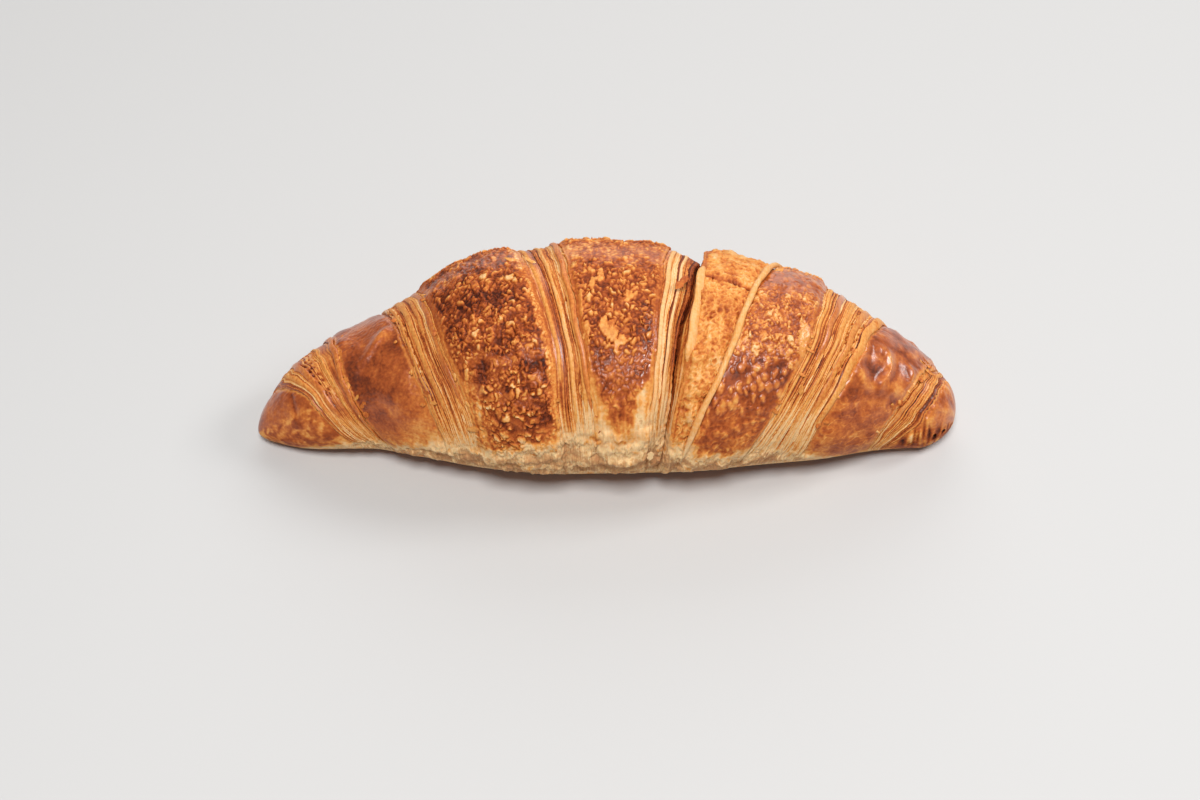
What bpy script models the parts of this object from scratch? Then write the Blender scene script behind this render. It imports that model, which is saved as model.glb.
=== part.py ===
"""A butter croissant, baked in one piece and resting on its flat base.

The dough is rolled up from its wide end, so each turn of the sheet lies on the one
before it. Outside, that shows as smooth bands of crust, one per turn, with bands of
cut, leafy edges stepping down between them. X runs from tip to tip, both tips come
a little towards -Y, and Z is up. Sizes are in millimetres until the mesh is made.
"""

import bisect
import math

import bmesh
import bpy

MM = 0.001

# The roll from tip to tip
LEFT_TIP = -81.5
RIGHT_TIP = 84.5
LEFT_CAP = 9.0              # length over which each tip rounds off
RIGHT_CAP = 7.0
LEFT_TIP_FORWARD = 9.5      # how far each tip comes forward of the middle
RIGHT_TIP_FORWARD = 7.5
BEND_POWER = 4              # the middle is straight and the horns bend late

# Half the roll's width at stations along X
GIRTH_X = (-82, -76, -69, -62, -55, -47, -29, -12, 6, 21, 37, 54, 66, 77, 85)
HALF_WIDTH = (4.4, 7.2, 11.2, 13.4, 15.0, 18.4, 25.2, 28.1, 27.8, 27.2, 24.3, 20.4, 15.0, 10.2, 7.4)
HEIGHT_PER_WIDTH_MIDDLE = 0.80
HEIGHT_PER_WIDTH_TIP = 0.94

# The cross-section: a dome over a bowl that the baking tray cut off flat
WAIST_HEIGHT = 0.42         # where the section is widest, as a share of its height
BOWL_DEPTH = 1.22           # depth the bowl would have, as a share of the waist height

# Angles round the section: 0 is the front, 90 the crest, 180 the back, 270 the base
FACE_ANGLES = (-40, -20, 20, 60, 100, 140, 200, 320)

# Where each turn's edges cross those angles, in X, from the left tip to the right one
EDGES = (
    ("left nub", (-57.0, -58.0, -65.4, -70.0, -74.0, -76.0, -77.0)),
    ("second left turn, outer edge", (-48.5, -49.5, -55.7, -59.6, -61.0, -62.0, -63.0)),
    ("second left turn, inner edge", (-34.5, -35.0, -38.4, -43.7, -47.4, -50.5, -53.0)),
    ("first left turn, outer edge", (-26.0, -26.5, -28.5, -34.4, -39.0, -42.0, -44.0)),
    ("first left turn, inner edge", (-8.0, -8.5, -9.7, -11.0, -16.0, -21.0, -24.0)),
    ("middle turn, left edge", (0.8, 0.5, -0.7, -3.3, -6.7, -9.5, -11.0)),
    ("middle turn, right edge", (9.5, 10.0, 10.6, 12.0, 13.7, 16.0, 17.0)),
    ("deep groove", (13.0, 13.6, 15.3, 17.3, 21.0, 23.5, 25.0)),
    ("torn turn, left edge", (14.2, 14.8, 16.6, 20.0, 22.6, 25.2, 27.0)),
    ("torn ridge", (16.0, 17.0, 21.3, 29.3, 35.6, 41.0, 45.0)),
    ("first right turn, outer edge", (30.0, 31.0, 38.3, 46.0, 50.3, 52.0, 53.0)),
    ("second right turn, inner edge", (46.5, 47.6, 52.0, 58.3, 62.6, 65.5, 67.0)),
    ("second right turn, outer edge", (64.0, 64.6, 68.3, 73.0, 75.3, 77.0, 77.5)),
    ("right nub", (69.0, 70.0, 76.3, 79.0, 80.0, 81.0, 81.5)),
)

# Height of the surface over the plain roll at each edge
EDGE_LIFT = (-0.4, -0.4, -0.4, 0.0, 0.2, 0.0, 0.2, -3.4, 0.2, 0.6, -0.2, 0.2, -0.4, -0.6)

# What lies between the edges: bands of crust swell, bands of leaves step down
CRUST_SWELL = 1.2
LEAF_SAG = 1.0
LEAF_LIP = 0.8
LEAVES_PER_BAND = 3
CRUST_STRIPS = 5
NUB_STRIPS = 7
BANDS = ("nub", "leaves", "crust", "leaves", "crust", "leaves", "crust", "leaves",
         "wall", "crust", "crust", "leaves", "crust", "leaves", "nub")

ROWS_ROUND = 40
UNDERSIDE_FADE = 0.5        # share of the bowl over which the relief dies out


def smooth_curve(x, knots, values):
    """A cubic through the knots, its slope at each one the mean of its two chords."""
    chords = [(b - a) / (q - p) for p, q, a, b in zip(knots, knots[1:], values, values[1:])]
    slopes = [chords[0]] + [(a + b) / 2 for a, b in zip(chords, chords[1:])] + [chords[-1]]
    i = min(max(bisect.bisect_right(knots, x) - 1, 0), len(chords) - 1)
    step = knots[i + 1] - knots[i]
    t = min(max((x - knots[i]) / step, 0.0), 1.0)
    rise = values[i + 1] - values[i]
    curl = (1 - t) * (slopes[i] * step - rise) - t * (slopes[i + 1] * step - rise)
    return values[i] + t * rise + t * (1 - t) * curl


def edge_x(edge, degrees):
    """X of one edge at an angle round the roll; under the base it crosses over."""
    turned = (degrees - FACE_ANGLES[0]) % 360 + FACE_ANGLES[0]
    places = EDGES[edge][1]
    return smooth_curve(turned, FACE_ANGLES, places + places[:1])


def spine_y(x):
    """The middle line in plan: straight, with both ends bending towards -Y."""
    if x < 0:
        return -LEFT_TIP_FORWARD * (x / LEFT_TIP) ** BEND_POWER
    return -RIGHT_TIP_FORWARD * (x / RIGHT_TIP) ** BEND_POWER


def spine_slope(x):
    """Slope of the middle line in plan."""
    step = 0.5
    return (spine_y(x + step) - spine_y(x - step)) / (2 * step)


def roundoff(x):
    """1 along the roll, falling to 0 at each tip as a quarter circle does."""
    left = min((x - LEFT_TIP) / LEFT_CAP, 1.0)
    right = min((RIGHT_TIP - x) / RIGHT_CAP, 1.0)
    return math.sqrt(max(1 - (1 - left) ** 2, 0)) * math.sqrt(max(1 - (1 - right) ** 2, 0))


def section_point(x, degrees, lift):
    """A point of the surface, raised by lift away from the plain roll."""
    angle = math.radians(degrees)
    half_width = smooth_curve(x, GIRTH_X, HALF_WIDTH)
    tipward = min(abs(x) / RIGHT_TIP, 1.0) ** 2
    ratio = HEIGHT_PER_WIDTH_MIDDLE + (HEIGHT_PER_WIDTH_TIP - HEIGHT_PER_WIDTH_MIDDLE) * tipward
    height = 2 * half_width * ratio
    waist = WAIST_HEIGHT * height
    rise = math.sin(angle)
    ends = roundoff(x)
    lift *= min(max(1 + rise / UNDERSIDE_FADE, 0), 1)
    across = -(half_width + lift) * ends * math.cos(angle)
    reach = height - waist if rise > 0 else waist * BOWL_DEPTH
    up = max(waist + (reach + lift) * ends * rise, 0.0)
    slope = spine_slope(x)
    size = math.hypot(1, slope)
    return (x - across * slope / size, spine_y(x) + across / size, up)


def band_columns(kind):
    """Stations across one band, each a share of its width and a lift over its edges."""
    if kind == "leaves":
        columns = []
        for leaf in range(LEAVES_PER_BAND):
            lip = (leaf + 0.3) / LEAVES_PER_BAND
            foot = (leaf + 0.7) / LEAVES_PER_BAND
            columns.append((lip, LEAF_LIP - LEAF_SAG * 4 * lip * (1 - lip)))
            columns.append((foot, -LEAF_SAG * 4 * foot * (1 - foot)))
        return columns
    strips = {"wall": 1, "crust": CRUST_STRIPS, "nub": NUB_STRIPS}[kind]
    shares = [i / strips for i in range(1, strips)]
    return [(share, CRUST_SWELL * math.sqrt(4 * share * (1 - share))) for share in shares]


def column_x(band, share, degrees):
    """X at a share of the way across a band; a nub runs from its tip to its edge."""
    left = LEFT_TIP if band == 0 else edge_x(band - 1, degrees)
    right = RIGHT_TIP if band == len(EDGES) else edge_x(band, degrees)
    if band == 0:
        share = 1 - math.cos(share * math.pi / 2)
    if band == len(EDGES):
        share = math.sin(share * math.pi / 2)
    return left + (right - left) * share


def edge_lift(index):
    """Lift at an edge, and none at the tips."""
    return EDGE_LIFT[index] if 0 <= index < len(EDGE_LIFT) else 0.0


def roll_rings():
    """Rings of points along the roll, from the left nub to the right one."""
    rings = []
    angles = [360 * row / ROWS_ROUND for row in range(ROWS_ROUND)]
    for band, kind in enumerate(BANDS):
        columns = band_columns(kind)
        if band < len(EDGES):
            columns.append((1.0, 0.0))
        for share, lift in columns:
            base = edge_lift(band - 1) * (1 - share) + edge_lift(band) * share
            rings.append([section_point(column_x(band, share, angle), angle, base + lift)
                          for angle in angles])
    return rings


def crust_material():
    """Egg-washed crust, golden brown."""
    material = bpy.data.materials.new("crust")
    material.use_nodes = True
    shader = material.node_tree.nodes["Principled BSDF"]
    shader.inputs["Base Color"].default_value = (0.47, 0.19, 0.06, 1)
    shader.inputs["Roughness"].default_value = 0.42
    shader.inputs["Metallic"].default_value = 0.0
    return material


def build_croissant():
    """Skin the rings, close both tips, and stand the roll on the middle of its base."""
    rings = roll_rings()
    tips = [section_point(LEFT_TIP, 90, 0), section_point(RIGHT_TIP, 90, 0)]
    points = [point for ring in rings for point in ring] + tips
    middle = [(min(p[k] for p in points) + max(p[k] for p in points)) / 2 for k in (0, 1)]

    mesh = bmesh.new()
    verts = [mesh.verts.new(((x - middle[0]) * MM, (y - middle[1]) * MM, z * MM))
             for x, y, z in points]
    left_tip, right_tip = verts[-2:]
    for ring in range(len(rings) - 1):
        for row in range(ROWS_ROUND):
            after = (row + 1) % ROWS_ROUND
            here, there = ring * ROWS_ROUND, (ring + 1) * ROWS_ROUND
            mesh.faces.new((verts[here + row], verts[here + after],
                            verts[there + after], verts[there + row]))
    last = (len(rings) - 1) * ROWS_ROUND
    for row in range(ROWS_ROUND):
        after = (row + 1) % ROWS_ROUND
        mesh.faces.new((left_tip, verts[after], verts[row]))
        mesh.faces.new((right_tip, verts[last + row], verts[last + after]))
    bmesh.ops.recalc_face_normals(mesh, faces=mesh.faces)

    data = bpy.data.meshes.new("croissant")
    mesh.to_mesh(data)
    mesh.free()
    data.materials.append(crust_material())
    data.shade_smooth()
    croissant = bpy.data.objects.new("croissant", data)
    bpy.context.scene.collection.objects.link(croissant)
    return croissant


for leftover in list(bpy.data.objects):
    bpy.data.objects.remove(leftover)
build_croissant()
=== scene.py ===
"""A butter croissant: its fine surface, its finishes, the studio light and the camera.

The roll follows the CAD solid's own formulas, on a grid fine enough for blisters. Relief,
browning and gloss are worked out together and kept as numbers on its points. Proud sheet
edges and loose chips lie on it. Sizes are in millimetres until a mesh is made, and X runs
from the left tip to the right one.
"""

import math

import bpy
import numpy as np
from mathutils import Matrix


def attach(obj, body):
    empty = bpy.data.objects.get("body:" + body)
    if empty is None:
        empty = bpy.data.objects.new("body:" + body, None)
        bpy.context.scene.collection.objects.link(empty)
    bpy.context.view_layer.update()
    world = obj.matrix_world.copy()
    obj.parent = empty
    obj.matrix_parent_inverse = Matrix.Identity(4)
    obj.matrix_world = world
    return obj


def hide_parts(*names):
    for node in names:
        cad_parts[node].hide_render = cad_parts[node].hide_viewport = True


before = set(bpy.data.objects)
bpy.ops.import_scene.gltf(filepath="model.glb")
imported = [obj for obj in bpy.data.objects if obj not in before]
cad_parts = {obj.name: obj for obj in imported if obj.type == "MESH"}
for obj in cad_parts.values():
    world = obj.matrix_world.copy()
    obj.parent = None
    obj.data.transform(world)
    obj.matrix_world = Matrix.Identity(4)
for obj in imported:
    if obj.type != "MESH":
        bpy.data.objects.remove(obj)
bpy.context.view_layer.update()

MM = 0.001

# ---------------- the roll, as in the CAD
LEFT_TIP = -81.5
RIGHT_TIP = 84.5
LEFT_CAP = 9.0
RIGHT_CAP = 7.0
LEFT_TIP_FORWARD = 9.5
RIGHT_TIP_FORWARD = 7.5
BEND_POWER = 4
PLAN_MIDDLE = (1.62, 0.06)         # the plan outline's middle, which the frame puts at 0, 0

GIRTH_X = (-82, -76, -69, -62, -55, -47, -29, -12, 6, 21, 37, 54, 66, 77, 85)
HALF_WIDTH = (4.4, 7.2, 11.2, 13.4, 15.0, 18.4, 25.2, 28.1, 27.8, 27.2, 24.3, 20.4, 15.0, 10.2, 7.4)
HEIGHT_PER_WIDTH_MIDDLE = 0.80
HEIGHT_PER_WIDTH_TIP = 0.94
WAIST_HEIGHT = 0.42
BOWL_DEPTH = 1.22
UNDERSIDE_FADE = 0.5

# Angles round the section: 0 is the front, 90 the crest, 180 the back, 270 the base
FACE_ANGLES = (-40, -20, 20, 60, 100, 140, 200, 320)

# Where each line between two bands crosses those angles, in X, from tip to tip
LINES = (
    ("left tip", (LEFT_TIP,) * 7),
    ("left horn", (-57.0, -58.0, -65.4, -70.0, -74.0, -76.0, -77.0)),
    ("left third turn, outer", (-48.5, -49.5, -55.7, -59.6, -61.0, -62.0, -63.0)),
    ("left third turn, inner", (-34.5, -35.0, -38.4, -43.7, -47.4, -50.5, -53.0)),
    ("left second turn, outer", (-26.0, -26.5, -28.5, -34.4, -39.0, -42.0, -44.0)),
    ("left second turn, inner", (-8.0, -8.5, -9.7, -11.0, -16.0, -21.0, -24.0)),
    ("crown, left", (0.8, 0.5, -0.7, -3.3, -6.7, -9.5, -11.0)),
    ("crown, right", (9.5, 10.0, 10.6, 12.0, 13.7, 16.0, 17.0)),
    ("groove", (13.0, 13.6, 15.3, 17.3, 21.0, 23.5, 25.0)),
    ("torn turn, left", (14.2, 14.8, 16.6, 20.0, 22.6, 25.2, 27.0)),
    ("torn ridge", (16.0, 17.0, 21.3, 29.3, 35.6, 41.0, 45.0)),
    ("right second turn, outer", (30.0, 31.0, 38.3, 46.0, 50.3, 52.0, 53.0)),
    ("right third turn, inner", (46.5, 47.6, 52.0, 58.3, 62.6, 65.5, 67.0)),
    ("right third turn, outer", (64.0, 64.6, 68.3, 73.0, 75.3, 77.0, 77.5)),
    ("right horn", (69.0, 70.0, 76.3, 79.0, 80.0, 81.0, 81.5)),
    ("right tip", (RIGHT_TIP,) * 7),
)

# ---------------- what lies on the roll
# Crust bands: left line, lifts at the left and right lines, swell between, and how each
# side ends: in a lip over the leaves, tucked under them, joined to its neighbour, or at a tip
CRUST_BANDS = {
    "left_horn": dict(line=0, lifts=(0.0, -0.5), swell=0.6, sides=("tip", "tuck"), columns=50),
    "left_third": dict(line=2, lifts=(0.1, -0.5), swell=1.0, sides=("lip", "tuck"), columns=66),
    "left_second": dict(line=4, lifts=(0.0, 0.2), swell=1.1, sides=("lip", "lip"), columns=104),
    "crown": dict(line=6, lifts=(0.2, 0.2), swell=0.9, sides=("lip", "lip"), columns=80),
    "torn": dict(line=9, lifts=(0.4, 0.0), swell=0.9, sides=("lip", "joined"), columns=60),
    "right_second": dict(line=10, lifts=(0.1, 0.1), swell=1.0, sides=("joined", "lip"), columns=82),
    "right_third": dict(line=12, lifts=(-0.4, 0.1), swell=0.9, sides=("tuck", "lip"), columns=66),
    "right_horn": dict(line=14, lifts=(-0.25, 0.0), swell=0.5, sides=("tuck", "tip"), columns=40),
}
# Beds of stacked sheet edges: left line, the side the sheets lean to, lifts at the left and
# right lines, mean width, mean distance between sheets and how baked they are; cream is how
# much paler they get low down, sponge which sheets show open crumb, and the last how much
# painted shade darkens them towards the groove
LEAF_BEDS = (
    dict(line=1, lean=-1, lifts=(0.0, -0.5), columns=96, width=10.5, pitch=1.15, bake=0.60, cream=0.10,
         sponge=(2,), deep=0.00),
    dict(line=3, lean=-1, lifts=(0.0, -0.5), columns=88, width=9.5, pitch=1.05, bake=0.58, cream=0.18,
         sponge=(3, 4), deep=0.00),
    dict(line=5, lean=-1, lifts=(-0.7, -0.4), columns=76, width=7.5, pitch=0.95, bake=0.62, cream=0.25,
         sponge=(), deep=0.00),
    dict(line=7, lean=1, lifts=(-0.6, -3.0), columns=50, width=4.5, pitch=0.95, bake=0.42, cream=0.22,
         sponge=(), deep=0.28),
    dict(line=8, lean=-1, lifts=(-4.6, -0.8), columns=22, width=2.2, pitch=2.4, bake=0.72, cream=0.20,
         sponge=(), deep=0.00),
    dict(line=11, lean=1, lifts=(-0.5, 0.0), columns=112, width=12.5, pitch=1.1, bake=0.56, cream=0.22,
         sponge=(4,), deep=0.00),
    dict(line=13, lean=1, lifts=(-0.5, -0.3), columns=54, width=6.0, pitch=0.85, bake=0.60, cream=0.12,
         sponge=(), deep=0.00),
)
PIECES = (
    ("croissant_left_horn", 0, 2), ("croissant_left_third", 2, 4), ("croissant_left_second", 4, 6),
    ("croissant_crown", 6, 8), ("croissant_right_second", 8, 11), ("croissant_right_third", 11, 13),
    ("croissant_right_horn", 13, 15),
)
GROOVE_LINE = 8
GROOVE_LIFT = -4.6
# A rolled-over lip, from its top outwards, down and back under: reach out, and lift
LIP = ((0.0, 0.0), (0.28, -0.08), (0.44, -0.28), (0.40, -0.52), (0.12, -0.74))
TUCK = ((0.0, 0.0), (0.4, -0.15))
LINE_WANDER = 0.45                  # how far a line strays along X, slowly and quickly
LINE_RAGGED = 0.28
LINE_MEAN_RADIUS = 26.0             # turns angles into millimetres round the roll
CREST_TURN = 116                    # past this angle the surface counts as going down again
FRAY_WIDTH = 1.1                    # how far in from its side a crust thins out into threads

CREASE_ANGLE = math.radians(80)
ROW_SPANS = ((-45, 120, 310), (120, 225, 156), (225, 315, 14))     # from, to, and how many rows

# Where each crust stops being browned at the front, in degrees, at stations along X
BROWN_X = (-82, -65, -50, -38, -28, -14, -4, 12, 22, 34, 48, 60, 85)
BROWN_DEGREES = (-42, -16, -8, 1, 6, 8, 16, 14, 2, -2, -12, -26, -44)


# ---------------- number helpers
def smooth_curve(x, knots, values):
    """A cubic through the knots, its slope at each one the mean of its two chords."""
    knots, values = np.asarray(knots, float), np.asarray(values, float)
    chords = np.diff(values) / np.diff(knots)
    slopes = np.concatenate(([chords[0]], (chords[:-1] + chords[1:]) / 2, [chords[-1]]))
    i = np.clip(np.searchsorted(knots, x, side="right") - 1, 0, len(chords) - 1)
    step = knots[i + 1] - knots[i]
    t = np.clip((x - knots[i]) / step, 0, 1)
    rise = values[i + 1] - values[i]
    curl = (1 - t) * (slopes[i] * step - rise) - t * (slopes[i + 1] * step - rise)
    return values[i] + t * rise + t * (1 - t) * curl


def ramp(x, low, high):
    """0 below low, 1 above high, and a smooth step between; low may be above high."""
    t = np.clip((x - low) / (high - low), 0, 1)
    return t * t * (3 - 2 * t)


def within(x, start, full, fade, end):
    """1 between full and fade, 0 outside start and end, and a smooth step on each side."""
    return ramp(x, start, full) * ramp(x, end, fade)


def hump(off, width):
    """1 where off is 0, and down to nearly 0 at twice width: exp(-(off / width) squared)."""
    return np.exp(-(off / width) ** 2)


def hashed(ix, iy, iz, seed):
    """A fixed scrambled number from 0 to 1 for each whole-number lattice point."""
    ix, iy, iz = (np.asarray(v).astype(np.int64).astype(np.uint32) for v in (ix, iy, iz))
    with np.errstate(over="ignore"):
        h = (ix * np.uint32(374761393) + iy * np.uint32(668265263)
             + iz * np.uint32(2246822519) + np.uint32(seed * 3266489917 % 2 ** 32))
        h = (h ^ (h >> np.uint32(15))) * np.uint32(2246822519)
        h = (h ^ (h >> np.uint32(13))) * np.uint32(3266489917)
        h = h ^ (h >> np.uint32(16))
    return h.astype(np.float64) / 2 ** 32


def noise(points, seed=0):
    """Gradient noise, about -1 to 1: slopes hashed at lattice corners, blended smoothly."""
    cell = np.floor(points).astype(np.int64)
    f = points - cell
    u = f ** 3 * (f * (f * 6 - 15) + 10)
    total = np.zeros(points.shape[:-1])
    for corner in range(8):
        d = np.array([corner & 1, corner >> 1 & 1, corner >> 2 & 1])
        at = cell + d
        turn = hashed(at[..., 0], at[..., 1], at[..., 2], seed) * 2 * np.pi
        tilt = hashed(at[..., 0], at[..., 1], at[..., 2], seed + 101) * 2 - 1
        flat = np.sqrt(1 - tilt ** 2)
        g = f - d
        dot = g[..., 0] * flat * np.cos(turn) + g[..., 1] * flat * np.sin(turn) + g[..., 2] * tilt
        total += dot * np.prod(np.where(d, u, 1 - u), axis=-1)
    return total * 1.7


def noise_of(seed, *axes):
    """Noise at coordinates given one by one; an axis left out is 0."""
    return noise(np.stack(np.broadcast_arrays(*axes, *[0.0] * (3 - len(axes))), -1), seed)


def fractal(points, seed=0, octaves=3):
    """Noise added to finer and fainter copies of itself."""
    total, size, weight = 0.0, 1.0, 1.0
    for octave in range(octaves):
        total = total + weight * noise(points * size, seed + octave)
        size, weight = size * 2.03, weight * 0.5
    return total


def cells(points, seed=0):
    """Distance to the nearest and second nearest of points jittered one per lattice cell,
    and a random number that belongs to the nearest one."""
    cell = np.floor(points).astype(np.int64)
    first = np.full(points.shape[:-1], 9.0)
    second, own = first.copy(), first.copy()
    for near in np.ndindex(3, 3, 3):
        at = cell + np.array(near) - 1
        spot = [at[..., k] + hashed(at[..., 0], at[..., 1], at[..., 2], seed + 7 * k) for k in range(3)]
        far = np.sqrt(sum((points[..., k] - spot[k]) ** 2 for k in range(3)))
        own = np.where(far < first, hashed(at[..., 0], at[..., 1], at[..., 2], seed + 31), own)
        second = np.minimum(second, np.maximum(first, far))
        first = np.minimum(first, far)
    return first, second, own


# ---------------- the roll
def line_x(line, degrees, ragged=LINE_RAGGED):
    """X of one line at angles round the roll, straying slowly, and quickly by ragged; under
    the base it crosses back over."""
    turned = (degrees - FACE_ANGLES[0]) % 360 + FACE_ANGLES[0]
    places = LINES[line][1]
    along = np.radians(degrees) * LINE_MEAN_RADIUS
    slow = noise_of(301, along / 8, line * 3.3)
    quick = noise_of(302, along / 1.7, line * 5.1)
    seen = ramp(degrees, -45, -25) * ramp(degrees, 230, 200) * (0 < line < len(LINES) - 1)
    stray = (LINE_WANDER * slow + ragged * quick) * seen
    return smooth_curve(turned, FACE_ANGLES, places + places[:1]) + stray


def spine_y(x):
    """The middle line in plan: straight, with both ends bending towards -Y."""
    left = LEFT_TIP_FORWARD * np.abs(x / LEFT_TIP) ** BEND_POWER
    right = RIGHT_TIP_FORWARD * np.abs(x / RIGHT_TIP) ** BEND_POWER
    return -np.where(x < 0, left, right)


def roundoff(x):
    """1 along the roll, falling to 0 at each tip as a quarter circle does."""
    left = np.clip((x - LEFT_TIP) / LEFT_CAP, 0, 1)
    right = np.clip((RIGHT_TIP - x) / RIGHT_CAP, 0, 1)
    return np.sqrt(1 - (1 - left) ** 2) * np.sqrt(1 - (1 - right) ** 2)


def roll_point(x, degrees, lift):
    """Points of the roll's surface: a dome over a cut-off bowl, square to the bent middle
    line, raised by lift. The relief dies out under the base."""
    angle = np.radians(degrees)
    half_width = smooth_curve(x, GIRTH_X, HALF_WIDTH)
    tipward = np.clip(np.abs(x) / RIGHT_TIP, 0, 1) ** 2
    ratio = HEIGHT_PER_WIDTH_MIDDLE + (HEIGHT_PER_WIDTH_TIP - HEIGHT_PER_WIDTH_MIDDLE) * tipward
    height = 2 * half_width * ratio
    waist = WAIST_HEIGHT * height
    rise = np.sin(angle)
    ends = roundoff(x)
    lift = lift * np.clip(1 + rise / UNDERSIDE_FADE, 0, 1)
    across = -(half_width + lift) * ends * np.cos(angle)
    reach = np.where(rise > 0, height - waist, waist * BOWL_DEPTH)
    up = np.maximum(waist + (reach + lift) * ends * rise, 0)
    slope = spine_y(x + 0.5) - spine_y(x - 0.5)
    size = np.hypot(1, slope)
    return np.stack([x - across * slope / size, spine_y(x) + across / size, up], axis=-1)


# ---------------- mesh makers
def add_object(name, data):
    """A new object of the scene, at the origin and unturned."""
    thing = bpy.data.objects.new(name, data)
    bpy.context.scene.collection.objects.link(thing)
    return thing


def add_numbers(mesh, name, numbers):
    """Stores a number or a vector for each point of the mesh under a name."""
    kind, field = ("FLOAT_VECTOR", "vector") if numbers.ndim == 2 else ("FLOAT", "value")
    layer = mesh.attributes.new(name, kind, "POINT")
    layer.data.foreach_set(field, numbers.astype(np.float32).reshape(-1))


def grid_faces(rows, columns):
    """Faces of one closed grid: quads that wrap round, and a fan at each end column."""
    here = np.arange(rows * columns).reshape(rows, columns)
    after = np.roll(here, -1, axis=0)
    quads = np.stack([here[:, :-1], here[:, 1:], after[:, 1:], after[:, :-1]], -1).reshape(-1, 4)
    left, right = rows * columns, rows * columns + 1
    left_fan = np.stack(np.broadcast_arrays(here[:, 0], after[:, 0], left), -1)
    right_fan = np.stack(np.broadcast_arrays(here[:, -1], right, after[:, -1]), -1)
    return quads, left_fan, right_fan


def grid_spread(rows, columns):
    """The bake map of one closed grid, columns and rows spread evenly over 0 to 1."""
    u = np.linspace(0.01, 0.99, columns)
    v = np.linspace(0.004, 0.996, rows + 1)
    row, column = np.indices((rows, columns - 1)).reshape(2, -1, 1)
    quads = np.stack([u[column + [0, 1, 1, 0]], v[row + [0, 0, 1, 1]]], -1)
    low, high = v[:-1], v[1:]
    middle = (low + high) / 2
    left = np.stack([np.tile([u[0], u[0], 0.0], (rows, 1)), np.stack([low, high, middle], -1)], -1)
    right = np.stack([np.tile([u[-1], 1.0, u[-1]], (rows, 1)), np.stack([low, middle, high], -1)], -1)
    return np.concatenate([part.reshape(-1, 2) for part in (quads, left, right)])


def grid_mesh(name, grids):
    """One object of closed skins. Each is points[row, column] with named numbers: rows wrap
    round, and each end column runs in to a point at its middle. The map OFBake lays the
    skins side by side."""
    corners, faces, numbers, spreads, first = [], [], {}, [], 0
    for place, (points, values) in enumerate(grids):
        rows, columns = points.shape[:2]
        ends = [points[:, 0].mean(0)[None], points[:, -1].mean(0)[None]]
        corners.append(np.concatenate([points.reshape(-1, 3), *ends]))
        for part in grid_faces(rows, columns):
            faces += (part + first).tolist()
        for key, value in values.items():
            ends = [value[:, 0].mean(0)[None], value[:, -1].mean(0)[None]]
            flat = np.concatenate([value.reshape(rows * columns, *value.shape[2:]), *ends])
            numbers.setdefault(key, []).append(flat)
        spreads.append((grid_spread(rows, columns) + [place, 0]) / [len(grids), 1])
        first += rows * columns + 2
    mesh = bpy.data.meshes.new(name)
    mesh.from_pydata((np.concatenate(corners) - [*PLAN_MIDDLE, 0]) * MM, [], faces)
    for key, parts in numbers.items():
        add_numbers(mesh, key, np.concatenate(parts))
    spread = np.concatenate(spreads).astype(np.float32)
    mesh.uv_layers.new(name="OFBake").data.foreach_set("uv", spread.reshape(-1))
    mesh.validate()
    mesh.shade_smooth()
    mesh.set_sharp_from_angle(angle=CREASE_ANGLE)
    return add_object(name, mesh)


# ---------------- crust
def flow(across, around, wide, long, seed):
    """Noise drawn out round the roll: wide across it, long around it, in millimetres. The
    lattice lies aslant, so that it doesn't show."""
    u, v = across / wide, around / long
    return noise_of(seed, 0.8 * u + 0.5 * v, 0.8 * v - 0.5 * u, 0.33 * u + 0.33 * v)


def bent(p, reach, size, seed):
    """Points pushed about by noise, so that a pattern on them loses its regularity."""
    return p + reach * np.stack([noise(p / size, seed + k) for k in range(3)], -1)


def nodules(p, size, seed):
    """Crowded bumps: 0 in the cracks between jittered cells, rising to 1 on their tops. Each
    is as tall as its own random number says."""
    near, second, own = cells(bent(p, 0.68 * size, 0.95 * size, seed) / size, seed + 3)
    return ramp(second - near, 0.0, 0.36) * (1 - 0.45 * near) * (0.5 + 0.75 * own)


def on_front(p):
    """1 on the front and the crest, 0 down the back."""
    return ramp(p[..., 1], 14, 9)


def spots(x, degrees, p, places, ragged, seed):
    """Raised patches on the front: 1 inside ellipses given by X, angle, half width and half
    length in millimetres and degrees, their outlines made ragged by noise."""
    stray = ragged * (noise(p / 1.6, seed) + 0.5 * noise(p / 0.7, seed + 1))
    inside = np.zeros(x.shape)
    for at_x, at_degrees, half_width, half_length in places:
        far = np.hypot((x - at_x) / half_width, (degrees - at_degrees) / half_length)
        inside = np.maximum(inside, ramp(far + stray, 1.05, 0.85))
    return inside * on_front(p)


def blend(a, b, share):
    """a where share is 0 and b where it is 1."""
    return a + (b - a) * share


# Each skin takes the plain surface p, millimetres around the roll, the angle in degrees,
# counted back down from the crest on the far side, and the share across the band. It gives
# the relief in millimetres and, from 0 to 1, how baked, how glossy, how granular and how
# crinkled the crust is; the bake also holds painted shade and painted highlights that follow
# the relief, as the docstrings say. Each adds weighted patterns, as its docstring says in words.
def skin_left_horn(p, around, degrees, share):
    """Smooth, mauve on top, mottled gold and red-brown below, with one slanting crease darkened as painted
    shade.
    """
    x = p[..., 0]
    mottle = noise(bent(p, 1.0, 1.8, 11) / 2.2, 14) + 0.35 * noise(p / 0.8, 17)
    low = ramp(degrees, 62, 40)
    crease = hump(x + 71.5 + 0.04 * (degrees - 60), 0.45) * ramp(degrees, 35, 50) * on_front(p)
    height = 0.22 * noise(p / 5, 15) + 0.10 * fractal(p / 1.6, 16) - 0.4 * crease
    bake = 0.71 - 0.07 * low + 0.08 * noise(p / 4, 13) + 0.15 * crease
    bake = bake + low * (0.28 * ramp(mottle, -0.6, 0.6) - 0.16)
    return height + 0.1 * low * mottle, bake, 0.95 - 0.35 * low, 0.15, 0.0


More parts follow.
